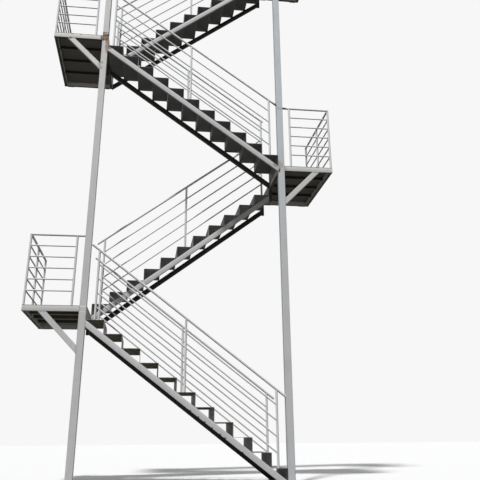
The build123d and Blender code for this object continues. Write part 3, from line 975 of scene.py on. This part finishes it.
def tube_tree():
    """Geometry Nodes: every path becomes a round tube of its own radius, with a ball at marked points."""
    tree, given, result = new_group("tubes along paths", {
        "Paths": "Geometry", "Sides": "Int", "Finish": "Material",
    }, {"Tubes": "Geometry"}, "GeometryNodeTree")
    radius = read(tree, "thickness")
    tubes = swept(tree, geometry(tree, "MeshToCurve", {"Mesh": given["Paths"]}), radius, given["Sides"])
    over_half = {"data_type": "FLOAT", "operation": "GREATER_THAN"}
    marked = add_node(tree, "FunctionNodeCompare", {0: read(tree, "knuckle"), 1: 0.5}, **over_half).outputs[0]
    corners = geometry(tree, "MeshToPoints", {"Mesh": given["Paths"], "Selection": marked})
    ball = geometry(tree, "MeshUVSphere", {"Segments": given["Sides"], "Rings": ball_rings, "Radius": 1.0})
    balls = geometry(tree, "InstanceOnPoints", {"Points": corners, "Instance": ball, "Scale": radius})
    joined = tree.nodes.new("GeometryNodeJoinGeometry")
    for shapes in (tubes, balls):
        tree.links.new(shapes, joined.inputs[0])
    smooth = geometry(tree, "SetShadeSmooth", {"Geometry": joined.outputs[0]})
    connect(tree, result, {"Tubes": dressed(tree, smooth, given["Finish"])})
    return tree


tubes_along_paths = tube_tree()
rail_seams = []


def saddle(centre, direction, thin, axis):
    """Seam where a tube of radius thin runs out along direction from a post or rail along axis."""
    centre, direction, axis = Vector(centre), Vector(direction).normalized(), Vector(axis).normalized()
    first = direction.cross(axis).normalized()
    second = direction.cross(first)
    flat_direction = direction - axis * direction.dot(axis)
    a = flat_direction.length_squared
    stops = []
    for x, y in circle(saddle_stops):
        aside = first * (thin * x) + second * (thin * y)
        flat_aside = aside - axis * aside.dot(axis)
        b = 2 * flat_direction.dot(flat_aside)
        c = flat_aside.length_squared - post_radius * post_radius
        distance = (-b + math.sqrt(max(b * b - 4 * a * c, 0))) / (2 * a)
        stops.append(centre + aside + direction * distance)
    return stops, True


def railing(node, posts, top_rail, bars, knuckle=None):
    """One railing panel of round tube in place of its CAD node, with its seams.

    Posts are (foot, top) upright, the top rail and the bars (start, end). Bars run through the
    posts' middles, and are welded to every post that they meet.
    """
    stubs = [(knuckle, Vector(knuckle) - knuckle_stub)] if knuckle else []
    paths = [(ends, False) for ends in (*posts, top_rail, *bars, *stubs)]
    radii = [post_radius] * (len(posts) + 1) + [bar_radius] * len(bars) + [post_radius] * len(stubs)
    marked = [0] * (len(paths) - len(stubs)) + [1] * len(stubs)
    mesh = path_mesh(node, paths, {"thickness": radii, "knuckle": marked})
    values = {"Sides": tube_sides, "Finish": railing_look}
    on_body(grown(f"{node}_tubes", mesh, tubes_along_paths, values), "railings", node)
    rail_direction = Vector(top_rail[1]) - Vector(top_rail[0])
    round_post = [post_radius * Vector((x, y, 0)) for x, y in circle(foot_stops)]
    for foot, top in posts:
        rail_seams.append(([Vector(foot) + spot for spot in round_post], True))
        rail_seams.append(saddle(top, (0, 0, -1), post_radius * post_fit, rail_direction))
        for start, end in ((Vector(one), Vector(other)) for one, other in bars):
            direction = (end - start).normalized()
            flat = Vector((direction.x, direction.y, 0))
            reach_to = Vector((foot[0] - start.x, foot[1] - start.y, 0))
            along = reach_to.dot(flat) / flat.length_squared
            if (reach_to - flat * along).length > post_radius:
                continue
            crossing = start + direction * along
            for way, goal in ((direction, end), (-direction, start)):
                if (goal - crossing).dot(way) > 2 * post_radius:
                    rail_seams.append(saddle(crossing, way, bar_radius, z_axis))


flight_rail_heights = (0.905, 0.940, 0.905, 0.940)
flight_bars, flight_bar_spacings = 4, (0.205, 0.209, 0.205, 0.209)
flight_top_insets, flight_low_inset = (0.125, 0.125, 0.090, 0.125), 0.130
rail_end_clearance, short_rail_end = 0.015, 0.037


def sloping(flight, y, places, height):
    """Points over a flight at places u, all at one height over its slope."""
    return [(flight.x(u), y, flight.upper - u * flight.fall + height) for u in places]


sizes = zip(flights, flight_rail_heights, flight_bar_spacings, flight_top_insets)
for flight, rail_height, spacing, top_inset in sizes:
    number = flight.number
    first_u, last_u = top_inset, run - flight_low_inset
    post_places = (first_u, (first_u + last_u) / 2, last_u)
    for lane, y in (("front", flight.front + post_radius), ("inner", flight.back - post_radius)):
        if lane == "inner" and number % 2 == 0:
            continue
        posts = [
            ((flight.x(u), y, flight.upper - math.ceil(u / flight.going) * flight.riser), top)
            for u, top in zip(post_places, sloping(flight, y, post_places, rail_height))
        ]
        top_end, low_end = rail_end_clearance, run - rail_end_clearance
        if lane == "front" and number % 2:
            low_end = run
        elif number == 2:
            top_end = first_u - short_rail_end
        elif number == 3:
            low_end = last_u + short_rail_end
        top_rail = sloping(flight, y, (top_end, low_end), rail_height)
        bars = [
            sloping(flight, y, (first_u, last_u), rail_height - index * spacing)
            for index in range(1, flight_bars + 1)
        ]
        railing(f"flight_{number}_{lane}_railing", posts, top_rail, bars)

landing_rail_heights = (1.020, 1.040, 1.040, 1.040)
landing_bars, landing_low_bar = 5, 0.205
column_post_offset = 0.160
end_posts = (0.725, 1.540)


def level_railing(node, landing, posts, top_rail, bar, knuckle):
    """Railing round a landing, its pieces given by their places (x, y). Says how high its bars are."""
    rail_height = landing_rail_heights[landing.number - 1]
    spacing = (rail_height - landing_low_bar) / landing_bars
    top = landing.level + rail_height
    heights = [top - index * spacing for index in range(1, landing_bars + 1)]
    railing(
        node, [((*post, landing.level), (*post, top)) for post in posts], [(*end, top) for end in top_rail],
        [[(*end, z) for end in bar] for z in heights], (*knuckle, top),
    )
    return heights


for landing in landings:
    y = front_face + post_radius
    corner_x = landing.outer_end - landing.out * post_radius
    near_x = landing.column_face + landing.out * (column_post_offset - column_half)
    corner, near, last = (corner_x, y), (near_x, y), (corner_x, end_posts[-1])
    node = f"landing_{landing.number}_front_railing"
    level_railing(node, landing, (corner, near), (corner, (landing.column_face, y)), (corner, near), corner)
    node, posts = f"landing_{landing.number}_end_railing", [(corner_x, place) for place in end_posts]
    for z in level_railing(node, landing, posts, (corner, last), (corner, last), last):
        rail_seams.append(saddle((*corner, z), y_axis, bar_radius, z_axis))

# Guard of the top landing.
# A short panel of the same tube, across the lane where no further flight starts. Its top rail
# ends on the column.
guard_x = landings[-1].inner_edge + landings[-1].out * post_radius
guard_ys = (column_half + column_post_offset / 2, front_face + flight_width - post_radius)
guard_posts = [(guard_x, y) for y in guard_ys]
guard_rail = ((guard_x, column_half), guard_posts[1])
level_railing("top_landing_guard", landings[-1], guard_posts, guard_rail, guard_posts, guard_posts[1])
weld_piece("railing_welds", "railings", rail_seams, rail_weld)
